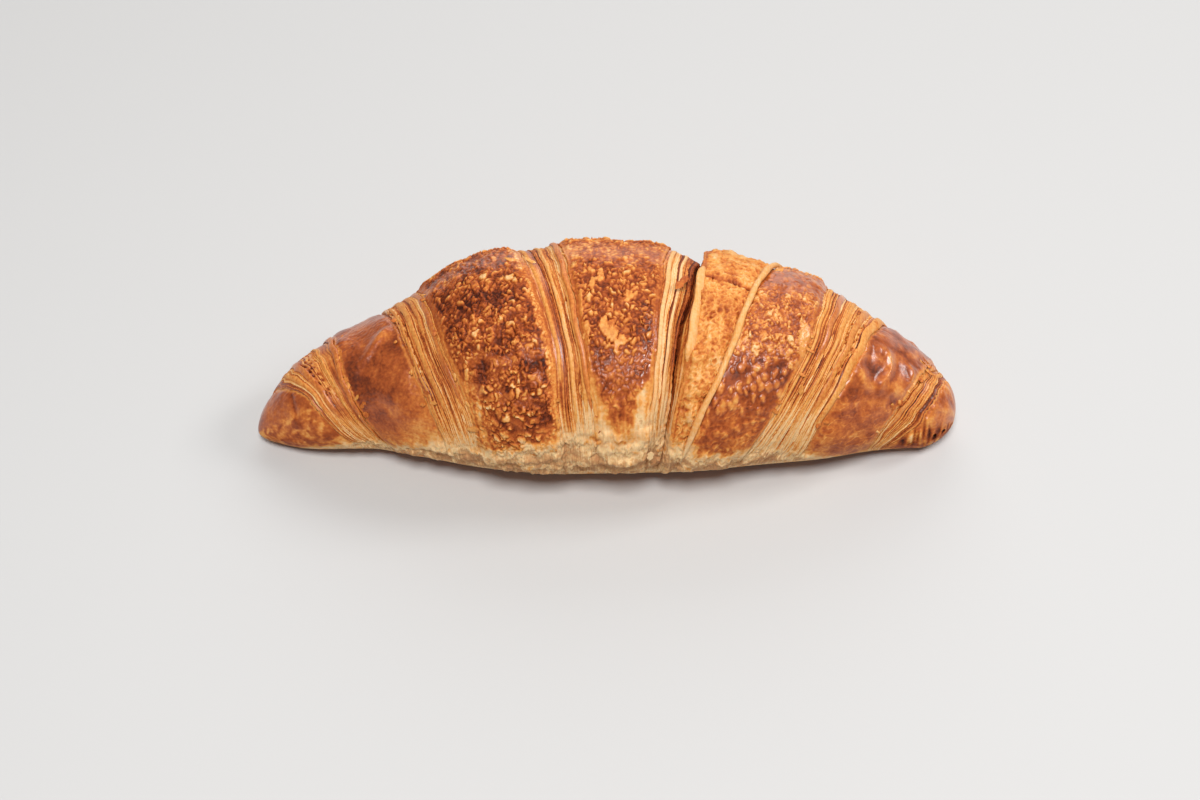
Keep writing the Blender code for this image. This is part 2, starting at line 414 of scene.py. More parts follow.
def skin_left_third(p, around, degrees, share):
    """Smooth and glossy: broad dents, one soft fold near the top painted lighter as a highlight, clouded red
    and orange.
    """
    x = p[..., 0]
    cloud = noise(bent(p, 1.2, 3, 21) / 3.2, 24)
    fine = fractal(p / 0.9, 25)
    fold = hump(x + 53.0 - 0.22 * (degrees - 82), 1.8) * on_front(p) * within(degrees, 66, 76, 92, 102)
    height = 0.50 * noise(p / 7, 22) + 0.06 * fine + 0.80 * fold + 0.10 * cloud
    bake = 0.82 + 0.10 * cloud + 0.04 * fine - 0.12 * share * ramp(degrees, 85, 60)
    bake = bake - 0.17 * ramp(degrees + 6 * cloud, 48, 10) - 0.10 * fold
    bake = bake + 0.05 * ramp(share, 0.5, 0.2) * ramp(degrees, 100, 70) - 0.10 * ramp(degrees, 70, 95)
    return height, bake, 0.90, 0.10, 0.0


def skin_left_second(p, around, degrees, share):
    """Rough and well baked: golden nodules over dark hollows, the hollows partly darker crust and
    partly painted shade, red patches low on the right, streaks low on the left, mauve wisps on
    top, and a pale golden margin on the right."""
    x = p[..., 0]
    coarse, fine = nodules(p, 1.75, 31), nodules(p, 0.9, 41)
    wisps = flow(x, around, 0.9, 4, 45)
    turned = degrees + 6 * noise(p / 3, 51) + 3 * noise(p / 1.2, 52)
    top = ramp(turned, 98, 116)
    red = ramp(noise(p / 4.2, 46) + 0.4 * (share - 0.6), 0.05, 0.3) * ramp(turned, 70, 55)
    streaky = ramp(share + 0.08 * noise(p / 2, 53), 0.26, 0.06) * ramp(turned, 66, 48)
    rough = (1 - 0.55 * top) * (1 - 0.5 * red) * (1 - 0.5 * streaky)
    knobs = blend(fine, coarse, 0.55 + 0.36 * ramp(noise(p / 4, 50), -0.2, 0.3))
    height = 1.0 * rough * knobs + 0.34 * noise(p / 3.4, 47) + 0.18 * wisps * (top + streaky)
    knobs = knobs * (1 + 0.6 * noise(p / 3.2, 57))
    bake = 0.93 + 0.11 * noise(p / 5, 48) - 0.56 * rough * knobs - 0.05 * ramp(degrees, 50, 25)
    bake = bake + 0.2 * wisps * (top + streaky) - 0.10 * top - 0.20 * streaky - 0.12 * red
    bake = bake - 0.08 * ramp(noise(p / 3, 49), 0, 0.5)
    wide = 0.045 + 0.04 * noise(p / 2.2, 54) + 0.045 * ramp(degrees, 20, 80)
    margin = ramp(share + 0.04 * noise(p / 0.9, 55), 1 - 1.3 * wide, 1 - 0.6 * wide)
    left_margin = ramp(share + 0.03 * noise(p / 1.1, 56), 0.05, 0.01)
    height = height * (1 - 0.3 * margin)
    bake = blend(bake, 0.56 + 0.10 * wisps - 0.34 * fine, 0.85 * margin)
    bake = blend(bake, 0.60 + 0.10 * wisps, 0.8 * left_margin)
    gloss = 0.10 + 0.35 * red + 0.70 * top
    return height, bake, gloss, 0.9 * rough, 0.0


# Golden plates on the crown: X, angle, half width and half length
CROWN_PLATES = ((-4.4, 80, 0.7, 8), (-3.6, 66, 1.3, 7), (1.0, 69, 1.0, 6), (2.6, 65, 1.5, 3.5),
                (4.8, 63, 1.2, 2.5), (3.6, 60, 0.6, 5), (-1.8, 90, 0.6, 4), (0.2, 95, 0.6, 5),
                (6.4, 84, 1.0, 3))


def skin_crown(p, around, degrees, share):
    """Red-brown with golden nodules and a few smooth golden plates, darker and glossier below them,
    strands on the left margin and a pinkish smooth right margin. The nodules' golden tops over
    darker cracks are partly crust colour and partly painted shade."""
    x = p[..., 0]
    coarse, fine = nodules(p, 1.6, 51), nodules(p, 0.85, 56)
    wisps = flow(x, around, 0.8, 5, 57)
    plates = spots(x, degrees, p, CROWN_PLATES, 0.6, 58)
    turned = degrees + 7 * noise(p / 3, 64) + 4 * noise(p / 1.2, 65)
    top = ramp(turned, 98, 116)
    grainy = ramp(turned, 52, 66) * (1 - 0.5 * top) + 0.45 * within(turned, 22, 36, 52, 66)
    knobs = (0.85 * coarse + 0.15 * fine) * grainy * (1 - plates)
    height = (0.95 - 0.4 * top) * knobs + 0.55 * plates + 0.25 * noise(p / 4, 60)
    height = height + 0.14 * wisps * (top + 0.4)
    dark = within(turned, 32, 46, 54, 64)
    bake = 0.87 + 0.10 * noise(p / 4, 61) - 0.56 * knobs
    bake = bake - 0.05 * dark * (1 - 1.6 * noise(p / 2.2, 62))
    bake = blend(bake, 0.47 + 0.08 * noise(p / 0.8, 69), plates) - (0.16 - 0.14 * wisps) * top
    low = ramp(turned, 44, 24)
    tongue = 0.16 + 0.36 * ramp(turned, 20, 64)
    beside = np.abs(share - 0.5) + 0.07 * noise(p / 1.6, 66) + 0.05 * wisps
    beside = ramp(beside, tongue - 0.02, tongue + 0.12)
    strands = 0.50 - 0.10 * (share > 0.5) + 0.22 * wisps + 0.10 * noise(p / 1.5, 68) - 0.16 * low
    bake = blend(bake - 0.22 * low + 0.2 * low * wisps, strands, 0.9 * beside * (1 - plates))
    height = height * (1 - 0.5 * beside) + 0.22 * wisps * np.maximum(low, beside)
    shine = ramp(share, 0.78, 0.86) * within(turned, 34, 44, 66, 84)
    gloss = 0.12 + 0.45 * dark * (1 - beside) + 0.6 * shine + 0.5 * top
    return height, bake, gloss, 0.5 * grainy, 0.0


def skin_torn(p, around, degrees, share):
    """Pale and matt: soft pillows covered in fine crepe wrinkles, creased across in two
    places, and darker where they turn down into the groove. Painted shade darkens the wrinkle
    hollows and the two creases, and the long folds are painted lighter on top."""
    x = p[..., 0]
    pushed = bent(p, 0.5, 1.3, 71)
    crepe = 1 - 2 * np.abs(noise(pushed / 1.0, 74)) - np.abs(noise(pushed / 0.55, 75))
    long_folds = flow(x - 0.06 * around, around, 1.8, 9, 76)
    crease = hump(degrees - 97.5 + 0.25 * (x - 28), 1.1) * ramp(x, 21, 23.5) * on_front(p)
    flap = within(degrees, 94, 99, 100, 112) * ramp(x, 21, 24) * on_front(p)
    low_crease = hump(degrees - 30, 0.9) * ramp(x, 21, 19)
    height = 0.30 * crepe + 0.7 * noise(p / 4.5, 77) + 0.5 * long_folds
    height = height - 0.6 * crease - 0.4 * low_crease + 0.35 * flap
    bake = 0.52 - 0.13 * crepe + 0.10 * noise(p / 4, 78) + 0.10 * noise(p / 1.2, 79)
    bake = bake - 0.10 * long_folds + 0.28 * crease + 0.2 * low_crease
    bake = bake + 0.22 * ramp(share, 0.12, 0.0) + 0.10 * ramp(share, 0.9, 1.0)
    bake = bake + 0.10 * within(degrees, 60, 75, 80, 94) * ramp(x, 21, 24)
    return height, bake, 0.18, 0.1, 1.0


def skin_right_second(p, around, degrees, share):
    """Orange-brown: golden nodules above, glossy blisters in the middle, wandering golden
    lines below, and a pale pink smooth patch on the right margin. Nodule and blister tops are
    lighter than the hollows between them, partly crust colour and partly painted light and shade."""
    x = p[..., 0]
    coarse, fine = nodules(p, 1.4, 81), nodules(p, 0.8, 86)
    near, _, own = cells(bent(p, 0.5, 2.2, 91) / [1.5, 2.4, 2.4], 94)
    blister = np.sqrt(np.clip(1 - (near / (0.36 + 0.3 * own)) ** 2, 0, 1))
    lines = ramp(np.abs(noise(bent(p, 0.6, 1.5, 95) / 2.2, 98)), 0.16, 0.04)
    turned = degrees + 7 * noise(p / 3, 106) + 4 * noise(p / 1.2, 107)
    upper = within(turned, 48, 62, 92, 108)
    middle = 0.5 * (ramp(turned, -2, 12) + ramp(turned, 20, 36)) * (1 - 0.6 * ramp(turned, 56, 72))
    lower = ramp(turned, 40, 26)
    knobs = (0.7 * coarse + 0.3 * fine) * upper * (0.9 + 0.6 * noise(p / 3, 105))
    blister, lines = blister * middle, lines * lower
    height = 0.85 * knobs + 0.42 * blister + 0.14 * lines + 0.3 * noise(p / 4.5, 99)
    bake = 0.81 + 0.12 * noise(p / 3.5, 100) - 0.56 * knobs - 0.30 * blister - 0.10 * lines
    bake = bake - 0.07 * ramp(degrees, 40, 15) - 0.08 * ramp(degrees, 90, 104)
    bake = bake - 0.06 * ramp(share, 0.16, 0.0) + 0.04 * fractal(p / 1.1, 103)
    patch = spots(x, degrees, p, ((46.3, 68, 1.7, 13),), 0.2, 104)
    bake = blend(bake, 0.46, patch)
    gloss = 0.40 + 0.4 * middle + 0.4 * patch + 0.4 * ramp(degrees, 88, 108) - 0.2 * knobs
    return height * (1 - 0.6 * patch), bake, gloss, 0.35 * upper, 0.0


def skin_right_third(p, around, degrees, share):
    """Smooth and glossy, mauve on top, drawn into soft folds that run round the roll with their
    tops painted lighter as highlights, clouded orange and brown below."""
    pushed = bent(p, 1.2, 4, 111)
    folds = 1 - 2 * np.abs(noise_of(114, (pushed[..., 0] - 0.25 * around) / 6.0, around / 12))
    drawn = within(degrees, 44, 58, 80, 92)
    cloud = noise(bent(p, 1.0, 2.5, 115) / 2.8, 118)
    lines = ramp(np.abs(noise(bent(p, 0.6, 1.5, 119) / 2.4, 122)), 0.10, 0.02)
    lines = lines * ramp(degrees, 50, 35)
    folds = folds * drawn
    height = 1.15 * folds + 0.45 * noise(p / 6, 123) + 0.03 * fractal(p / 1.1, 124) + 0.08 * lines
    bake = 0.71 + 0.17 * cloud - 0.18 * folds + 0.05 * ramp(degrees, 45, 60) - 0.12 * lines
    bake = bake - 0.05 * ramp(degrees, 85, 105) - 0.05 * ramp(degrees, 30, 5)
    bake = blend(bake, 0.56, ramp(share, 0.12, 0.02))
    return height, bake, 0.95, 0.12, 0.0


def skin_right_horn(p, around, degrees, share):
    """Glossy and curled over, with folds that run towards the tip, their tops painted lighter as
    highlights, dark strands low, and two small holes darkened as painted shade.
    """
    x = p[..., 0]
    folds = flow(x, around, 3.0, 2.4, 131)
    low = ramp(degrees + 8 * noise(p / 2, 136), 40, 14)
    strands = flow(x, around, 0.7, 6, 132)
    holes = spots(x, degrees, p, ((78.8, 3, 0.5, 8), (81.2, 8, 0.5, 7)), 0.2, 135)
    height = 0.7 * blend(folds, strands, low) + 0.12 * fractal(p / 1.2, 133) - 1.1 * holes
    bake = 0.60 - 0.16 * folds + 0.10 * noise(p / 3, 134) + low * (0.10 - 0.40 * strands)
    return height, bake + 0.4 * holes, 0.85 - 0.5 * low, 0.15, 0.0


def sheet_edges(across, around, pitch, seed):
    """Edges of stacked sheets: along a wavering count of sheets each one rises slowly to
    its lip and drops to the next. Gives height, place between lips, and the sheet's number."""
    uneven = 0.6 * noise_of(seed, across / 1.6, seed)
    sway = 0.6 * flow(across, around, 2.4, 50, seed) + 0.40 * flow(across, around, 1.8, 15, seed + 1)
    sway = sway + 0.20 * flow(across, around, 1.4, 5, seed + 5)
    phase = (across + uneven) / pitch + sway
    sheet = np.floor(phase)
    part = phase - sheet
    worn = 0.55 + 0.45 * flow(sheet * 1.7, around, 1, 9, seed + 2)
    strength = (0.3 + 0.7 * hashed(sheet, 0, 9, seed)) * worn
    height = strength * np.where(part < 0.8, (part / 0.8) ** 0.7, (1 - part) / 0.2)
    return height, part, sheet


def bed_relief(bed, across, around, degrees):
    """Relief, browning and gloss of a bed of sheet edges: broad sheets, narrower ones on them and
    fine ones on those. Some sheets are glazed, and high up some are open sponge. Painted shade
    darkens each sheet at its root and the sponge holes."""
    seed = 400 + 10 * bed["line"]
    broad, part, sheet = sheet_edges(across, around, bed["pitch"] * 1.9, seed)
    narrow, narrow_part, narrow_sheet = sheet_edges(across, around, bed["pitch"] * 0.68, seed + 3)
    fine, fine_part, fine_sheet = sheet_edges(across, around, bed["pitch"] * 0.34, seed + 4)
    kind = hashed(sheet, 5, 0, seed)
    tones = [hashed(k, 0, 3, seed) - 0.5 for k in (sheet, narrow_sheet, fine_sheet)]
    patchy = noise_of(seed + 6, across / 2.2, around / 5.0)
    glazed = (kind > 0.72) * ramp(degrees, 5, 40)
    sponge = np.isin(sheet, bed["sponge"]) * ramp(degrees, 36, 60)
    inside = within(part, 0.0, 0.2, 0.9, 1.0)
    near = cells(np.stack([across / 0.75, around / 1.15, across * 0], -1), seed + 7)[0]
    holes = sponge * inside * ramp(near, 0.48, 0.3)
    height = 0.30 * broad + (0.42 * narrow + 0.36 * fine) * (1 - 0.7 * glazed) * (1 - 0.5 * sponge)
    height = height + 0.15 * glazed * inside - 0.40 * holes
    # Painted shade: each broad, narrow and fine sheet is darker at its root, under the lip above it, and
    # lighter towards its own lip
    bake = bed["bake"] + 0.10 * tones[0] + 0.22 * tones[1] + 0.30 * tones[2] - 0.08 * ramp(part, 0.3, 0.8)
    bake = bake + 0.20 * ramp(part, 0.12, 0.01) + 0.24 * ramp(narrow_part, 0.25, 0.02)
    bake = bake + (0.22 * ramp(fine_part, 0.5, 0.0) - 0.08 * ramp(narrow_part, 0.5, 0.8)) * (1 - glazed)
    # Painted shade: the sponge holes are darker
    bake = bake + 0.26 * holes - 0.10 * sponge + 0.07 * glazed * inside
    bake = bake + 0.08 * patchy + 0.10 * flow(across, around, 2.5, 12, seed + 8)
    bake = bake + 0.05 * noise_of(seed + 9, across * 1.2, around * 0.9)
    bake = bake - bed["cream"] * ramp(degrees, 46, 12)
    # Painted shade: darker on the side that lies deeper in the groove
    bake = bake + bed["deep"] * ramp(across / bed["width"], 0.35, 0.65) * ramp(degrees, 30, 60)
    return height, bake, 0.12 + 0.6 * glazed * inside


SKINS = {
    "left_horn": skin_left_horn, "left_third": skin_left_third, "left_second": skin_left_second,
    "crown": skin_crown, "torn": skin_torn, "right_second": skin_right_second,
    "right_third": skin_right_third, "right_horn": skin_right_horn,
}


def row_angles():
    """Angles round the roll: close together on the face, wider behind, widest underneath."""
    return np.concatenate([np.linspace(a, b, n, endpoint=False) for a, b, n in ROW_SPANS])


def crust_columns(name, band):
    """Columns of a crust band: line, share across, reach past it, lift, and band name."""
    shares = np.linspace(0, 1, band["columns"])
    if band["sides"][0] == "tip":
        shares = 1 - np.cos(shares[1:] * np.pi / 2)
    if band["sides"][1] == "tip":
        shares = np.sin(shares[:-1] * np.pi / 2)
    if band["sides"][0] == "joined":
        shares = shares[1:]
    lifts = band["lifts"][0] * (1 - shares) + band["lifts"][1] * shares
    lifts = lifts + band["swell"] * (1 - np.abs(2 * shares - 1) ** 3)
    columns = [(band["line"], share, 0.0, lift, name) for share, lift in zip(shares, lifts)]
    ends = {"lip": LIP, "tuck": TUCK, "joined": (), "tip": ()}
    left = [(band["line"], 0.0, -reach, band["lifts"][0] + lift, name)
            for reach, lift in ends[band["sides"][0]][:0:-1]]
    right = [(band["line"], 1.0, reach, band["lifts"][1] + lift, name)
             for reach, lift in ends[band["sides"][1]][1:]]
    return left + columns + right


def bed_lift(bed, share):
    """How far a bed lies above the plain roll: a straight run from side to side that sags."""
    sag = 0.35 * 4 * share * (1 - share) * (min(bed["lifts"]) > -1)
    return bed["lifts"][0] * (1 - share) + bed["lifts"][1] * share - sag


def bed_columns(bed):
    """Columns of a bed of sheet edges."""
    shares = np.linspace(0.02, 0.98, bed["columns"])
    return [(bed["line"], share, 0.0, bed_lift(bed, share), "bed") for share in shares]


def body_columns():
    """All columns from the left tip to the right one."""
    stretches = [(band["line"], crust_columns(name, band)) for name, band in CRUST_BANDS.items()]
    stretches += [(bed["line"], bed_columns(bed)) for bed in LEAF_BEDS]
    columns = [column for _, part in sorted(stretches, key=lambda s: s[0]) for column in part]
    meeting = next(k for k, column in enumerate(columns) if column[0] == GROOVE_LINE)
    return columns[:meeting] + [(GROOVE_LINE, 0.0, 0.0, GROOVE_LIFT, "bed")] + columns[meeting:]


def baked_front(degrees, x, p):
    """1 where the oven browned the crust, 0 in the ragged pale zone near the tray."""
    stop = smooth_curve(x, BROWN_X, BROWN_DEGREES)
    pushed = bent(p, 0.8, 1.8, 145)
    ragged = 6 * noise(p / 6, 141) + 5 * noise(pushed / 1.8, 142) + 3 * noise(pushed / 0.8, 143)
    ragged = ragged + 5 * flow(pushed[..., 0], np.radians(degrees) * LINE_MEAN_RADIUS, 0.9, 7, 144)
    return ramp(degrees - stop + ragged, -12, 14) * ramp(degrees + 0.8 * ragged, 218, 196)


def pale_dough(degrees, x, plain, around):
    """Bake and relief of the dough that stayed pale near the tray: cream with golden patches,
    darkened low down as painted shade of the tray, lumpy and drawn out round the roll, and evenly
    browned on the base."""
    pushed = bent(plain, 0.6, 1.5, 159)
    fibres = flow(pushed[..., 0], around, 0.8, 7, 151)
    patches = noise(pushed / 4.5, 152) + 0.5 * noise(pushed / 1.5, 156)
    streaks = flow(pushed[..., 0], around, 1.8, 14, 158)
    from_base = np.abs(np.mod(degrees - 90, 360) - 180)
    tray = ramp(from_base + 6 * patches + 4 * fibres, 70, 48)
    # Painted shade: low values give the dull dark dough colour and higher up is lighter, so the pale zone
    # darkens towards the bottom
    pale = 0.045 + 0.06 * fibres + 0.05 * streaks + 0.07 * patches + 0.08 * ramp(degrees, -8, 14)
    pale = pale + 0.10 * hump(x - 2, 14) * ramp(degrees, -6, 12) + 0.28 * ramp(patches, 0.3, 0.9)
    pale = blend(np.clip(pale, 0, 1), 0.60 + 0.10 * noise(plain / 5, 154), tray)
    lumps = 0.85 * noise(pushed / 3.2, 155) + 0.12 * noise(plain / 0.9, 157)
    lumps = lumps * (1 + 1.3 * ramp(from_base, 94, 72)) + 0.42 * fibres + 0.36 * streaks
    return pale, lumps


def frayed_margins(band, share, width, around):
    """Where a crust thins out into threads near its two sides, and the threads there."""
    from_left = np.where(band["sides"][0] in ("lip", "tuck"), share * width, 9.0)
    from_right = np.where(band["sides"][1] in ("lip", "tuck"), (1 - share) * width, 9.0)
    from_side = np.minimum(from_left, from_right)
    uneven = flow(band["line"] * 7.7, around, 1, 7, 162)
    frayed = ramp(from_side, FRAY_WIDTH + 0.6 * uneven, 0.2)
    return frayed, flow(from_side, around, 0.42, 14, 163)


def crust_numbers(name, p, around, down, shares, width, reach):
    """Relief, bake, gloss, grain and wrinkling of one crust. Its relief dies out at its two
    sides, where it frays into threads, and its bake is mottled."""
    band = CRUST_BANDS[name]
    height, bake, *others = SKINS[name](p, around, down, shares)
    edge = np.minimum(shares, 1 - shares) * band["columns"]
    keep = np.where(np.abs(reach) > 0, 0.3, ramp(edge, -1, 5))
    frayed, threads = frayed_margins(band, shares, width, around)
    mottled = bake + 0.05 * fractal(p / 0.7, 161, 2)
    bake = blend(mottled, 0.56 - 0.22 * threads, 0.75 * frayed)
    return height * keep + 0.2 * threads * frayed, bake, *others


def bed_numbers(bed, x, share, rows, around, down):
    """Relief, bake and gloss of one bed, and how far across it each point lies."""
    start, stop = (line_x(bed["line"] + k, rows, 0.0)[:, None] for k in (0, 1))
    along = (x - start) / (stop - start)
    across = (1 - along if bed["lean"] < 0 else along) * bed["width"]
    height, bake, gloss = bed_relief(bed, across, around, down)
    return height * ramp(np.minimum(share, 1 - share), 0, 0.05), bake, gloss, across


def skin_numbers(columns, degrees):
    """Points of a run of columns, with each band's own relief, browning, gloss and grain."""
    line, share, reach, lift, kind = (np.array(part) for part in zip(*columns))
    rows = degrees[:, 0]
    crossings = np.stack([line_x(k, rows) for k in range(len(LINES))], axis=-1)
    left, right = crossings[:, line], crossings[:, np.minimum(line + 1, len(LINES) - 1)]
    x = left * (1 - share) + right * share + reach
    plain = roll_point(x, degrees, lift)
    around = np.radians(degrees) * smooth_curve(x, GIRTH_X, HALF_WIDTH)
    shares = np.repeat(share[None], len(rows), axis=0)
    across = x - left
    down = np.where(degrees > CREST_TURN, 2 * CREST_TURN - degrees, degrees)
    relief, bake, gloss, grainy, crinkled, layered = (np.zeros(x.shape) for _ in range(6))
    for name in CRUST_BANDS:
        on = kind == name
        if on.any():
            parts = crust_numbers(name, plain[:, on], around[:, on], down[:, on], shares[:, on],
                                  (right - left)[:, on], reach[on])
            for target, part in zip((relief, bake, gloss, grainy, crinkled), parts):
                target[:, on] = part
    for bed in LEAF_BEDS:
        on = (kind == "bed") & (line == bed["line"])
        if on.any():
            parts = bed_numbers(bed, x[:, on], share[on], rows, around[:, on], down[:, on])
            for target, part in zip((relief, bake, gloss, across), parts):
                target[:, on] = part
            layered[:, on] = 1.0
    gloss = gloss * (0.3 + 0.7 * ramp(down, 5, 45))
    brown = baked_front(degrees, x, plain)
    pale, lumps = pale_dough(degrees, x, plain, around)
    relief = relief * (0.35 + 0.65 * brown) + (1 - brown) * lumps
    # The bake holds the crust's colour together with the painted shade and highlights worked into it
    numbers = dict(bake=blend(pale, bake, brown), gloss=gloss * brown, grainy=grainy * brown,
                   crinkled=crinkled * brown, layered=np.maximum(layered, 0.6 * (1 - brown)),
                   flow=np.stack(np.broadcast_arrays(across, around, line.astype(float)), -1))
    return roll_point(x, degrees, lift + relief), numbers


def make_body():
    """The roll's skin in pieces, each closed inside the roll where it meets the next."""
    columns = body_columns()
    rows = row_angles()
    pieces = []
    for name, first, last in PIECES:
        inside = [k for k, column in enumerate(columns) if first <= column[0] < last]
        run = columns[inside[0]:inside[-1] + 2]
        degrees = np.repeat(rows[:, None], len(run), axis=1)
        pieces.append(grid_mesh(name, [skin_numbers(run, degrees)]))
    return pieces


# ---------------- ridges and flakes
# Sheet edges that stand proud of their bed: line, share of the way to the next line, first
# and last angle, width, thickness, lift, how far it leans over, bake and gloss
PROUD_RIDGES = (
    (10, 0.00, -8, 190, 1.6, 1.4, 1.15, 0.25, 0.43, 0.30),
    (9, 0.03, 50, 112, 2.2, 1.3, 0.7, -0.35, 0.42, 0.20),
    (12, -0.03, 4, 196, 1.8, 0.8, 0.35, -0.2, 0.52, 0.35),
    (6, -0.07, 22, 186, 1.3, 0.6, 0.15, 0.2, 0.62, 0.55),
    (2, -0.06, 6, 192, 1.3, 0.6, 0.25, 0.2, 0.66, 0.75),
)
# Those that lie in a bed: line, share, first and last angle, width, lean, bake and gloss
BED_RIDGES = (
    (1, 0.18, -4, 170, 0.8, 0.1, 0.56, 0.25),
    (1, 0.36, 8, 198, 1.3, 0.1, 0.64, 0.80),
    (1, 0.70, 2, 190, 0.6, 0.1, 0.54, 0.20),
    (3, 0.12, -4, 150, 0.6, 0.2, 0.54, 0.25),
    (3, 0.36, 14, 196, 1.2, 0.2, 0.55, 0.30),
    (3, 0.60, 66, 204, 0.8, 0.2, 0.57, 0.30),
    (3, 0.82, 20, 180, 1.0, 0.2, 0.66, 0.70),
    (5, 0.16, 30, 178, 0.9, 0.2, 0.52, 0.20),
    (5, 0.50, 6, 200, 0.7, 0.2, 0.47, 0.25),
    (5, 0.80, 12, 188, 1.0, 0.2, 0.50, 0.25),
    (7, 0.22, 8, 198, 1.0, -0.2, 0.38, 0.15),
    (7, 0.60, 4, 176, 0.7, -0.2, 0.33, 0.15),
    (11, 0.12, 2, 160, 0.7, -0.2, 0.50, 0.25),
    (11, 0.31, 46, 196, 1.2, -0.2, 0.64, 0.95),
    (11, 0.52, -6, 202, 0.8, -0.2, 0.52, 0.30),
    (11, 0.74, 10, 188, 1.3, -0.2, 0.58, 0.50),
    (13, 0.25, 0, 190, 0.9, -0.2, 0.58, 0.60),
    (13, 0.66, 4, 180, 0.6, -0.2, 0.56, 0.40),
)
BED_RIDGE_THICKNESS = 0.4
BED_RIDGE_LIFT = 0.34
RIDGE_SECTION = 12
RIDGE_WAVER = 0.15
RIDGE_STEP_DEGREES = 1.0


def ridge_skin(line, share, start, stop, width, thickness, lift, lean, bake, gloss):
    """A sheet edge: a lens section, wider than it is thick and leaning over, carried round
    the roll at a share of the way between two lines. It wavers, and tapers at both ends."""
    stations = np.arange(start, stop, RIDGE_STEP_DEGREES)
    seed = 500 + 13 * line + int(100 * share)
    along = np.radians(stations) * LINE_MEAN_RADIUS
    waver, thin, nick = (noise_of(k, along / size, seed) for k, size in ((171, 9), (172, 7), (173, 1.4)))
    gap = (stations - start) / (stop - start)
    taper = np.sqrt(within(gap, 0, 0.16, 0.8, 1) + 0.001)
    beds = [bed for bed in LEAF_BEDS if bed["line"] == line and share > 0]
    under = bed_lift(beds[0], share) if beds else 0.0
    left, right = line_x(line, stations, 0.0), line_x(line + 1, stations, 0.0)
    middle = left * (1 - share) + right * share + RIDGE_WAVER * waver
    turn = np.linspace(0, 2 * np.pi, RIDGE_SECTION, endpoint=False)[:, None]
    size = taper * (1 + 0.3 * thin + 0.08 * nick)
    across = width / 2 * size * np.cos(turn)
    up = thickness / 2 * size * np.sin(turn) + lean * across + under + lift - 1.1 * (1 - taper)
    degrees = np.repeat(stations[None], RIDGE_SECTION, axis=0)
    x = middle + across
    points = roll_point(x, degrees, up)
    # Painted light and shade: the top of each section is lighter and its underside darker
    bake = bake + 0.05 * thin - 0.05 * np.sin(turn)
    return points, finish_numbers(x, degrees, points, bake, gloss, line)


# Chips of crust that stand off the surface: X, angle, which way they point (degrees from
# +X towards the top), length, width, how far the free end lifts, and bake
CHIPS = (
    (-17.6, 111, 172, 4.2, 1.6, 1.5, 0.46), (-14.6, 108, 150, 3.0, 1.0, 0.9, 0.42),
    (17.0, 90, 55, 5.0, 1.6, 0.4, 0.66),
    (39.6, 121, 40, 3.2, 1.6, 1.3, 0.45), (62.8, 102, 75, 3.6, 1.4, 0.9, 0.52),
    (-21.5, -14, 250, 2.6, 2.2, 1.2, 0.50), (-4.2, -18, 265, 2.0, 0.9, 0.9, 0.50),
    (-19.0, 7, 340, 5.0, 1.6, 0.7, 0.62), (-14.0, 5, 15, 4.5, 1.6, 0.7, 0.58),
    (5.5, 4, 290, 2.8, 1.6, 0.5, 0.34), (8.5, 5, 275, 3.4, 1.4, 0.6, 0.30),
    (11.6, 4, 262, 2.6, 1.3, 0.6, 0.34), (-44.0, -16, 300, 2.4, 1.6, 0.7, 0.66),
    (-30.5, 17, 10, 3.0, 1.4, 0.5, 0.50), (46.0, 38, 80, 2.4, 1.0, 0.8, 0.48),
)
# Small chips: the least and greatest angle, distance from their line, heading, length,
# width, lift and bake, and which random draw each one takes
CHIP_RANGES = ((8, 120), (-1.2, 1.2), (0, 360), (0.8, 2.2), (0.5, 1.3), (0.2, 0.6), (0.42, 0.67))
CHIP_DRAWS = (1, 2, 3, 4, 5, 6, 5)
CHIP_COUNT = 70
CHIP_LINES = (2, 3, 4, 5, 6, 11, 12, 13)
CHIP_GLOSS = 0.2
CHIP_COLUMNS = 7
CHIP_SECTION = 8


def chip_skin(x, degrees, pointing, length, width, rise, bake, seed):
    """A chip: a thin lens section carried along a short line, widest in the middle, stuck
    down at one end and curling up at the other."""
    s = np.linspace(0, 1, CHIP_COLUMNS)
    turn = np.linspace(0, 2 * np.pi, CHIP_SECTION, endpoint=False)[:, None]
    half = width / 2 * np.sqrt(np.clip(1 - (2 * s - 1) ** 4, 0.02, 1))
    half = half * (0.8 + 0.5 * hashed(np.arange(CHIP_COLUMNS), 0, 0, seed))
    sideways = half * np.cos(turn)
    onward = s * length
    way = math.radians(pointing)
    radius = smooth_curve(x, GIRTH_X, HALF_WIDTH)
    at_x = x + onward * math.cos(way) - sideways * math.sin(way)
    at_degrees = degrees + np.degrees((onward * math.sin(way) + sideways * math.cos(way)) / radius)
    up = rise * s ** 1.6 + 0.15 + 0.12 * np.sin(turn) + 0.12 * (sideways / width) ** 2
    points = roll_point(at_x, at_degrees, up)
    # Painted light and shade: each chip's top is lighter and its underside darker
    bake = bake - 0.06 * np.sin(turn) + 0.1 * s
    return points, finish_numbers(at_x, at_degrees, points, bake, CHIP_GLOSS, seed)


SMALL_PART_FINISH = dict(grainy=0.0, crinkled=0.0, layered=0.5)


def finish_numbers(x, degrees, points, bake, gloss, count):
    """The numbers that the finish reads, for a small part with one bake all over."""
    pale = 0.14 * ramp(degrees, 22, 4)
    mottled = bake - pale + 0.05 * noise(points / 0.9, 174)
    around = np.radians(degrees) * LINE_MEAN_RADIUS
    even = {key: np.full(x.shape, value) for key, value in SMALL_PART_FINISH.items()}
    flowing = np.stack(np.broadcast_arrays(x, around, float(count)), -1)
    return dict(even, bake=mottled, gloss=np.full(x.shape, gloss), flow=flowing)


